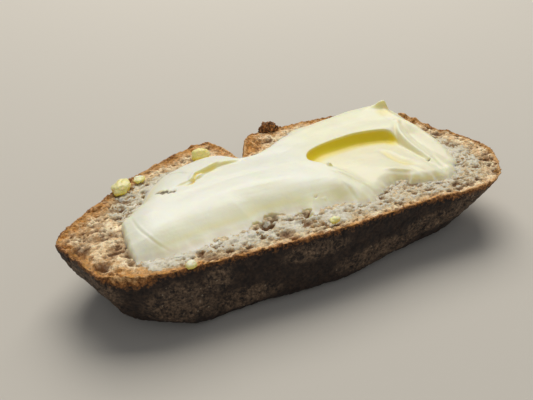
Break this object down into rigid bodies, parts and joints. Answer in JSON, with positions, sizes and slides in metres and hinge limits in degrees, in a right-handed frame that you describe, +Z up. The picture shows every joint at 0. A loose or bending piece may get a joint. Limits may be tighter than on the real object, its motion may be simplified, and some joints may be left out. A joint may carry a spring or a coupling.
{
  "type": "buttered bread slice",
  "caption": "Thick slice of dark crusty bread lying cut side up, spread with a thick swirl of butter and dotted with small dabs.",
  "frame": {"origin": "bottom centre of the whole slice, on the table", "axes": "+X along the slice, +Y towards its domed notched side, +Z up out of the buttered cut face"},
  "size_m": [0.19, 0.0906, 0.0372],
  "materials": {
    "bread": "dark floury baked crust around tan porous crumb",
    "butter": "soft pale butter with knife marks"
  },
  "bodies": {
    "root": {"bread_slice": "bread", "butter_spread": "butter", "butter_dab_left": "butter", "butter_dab_back": "butter", "butter_dab_front": "butter"}
  },
  "joints": []
}
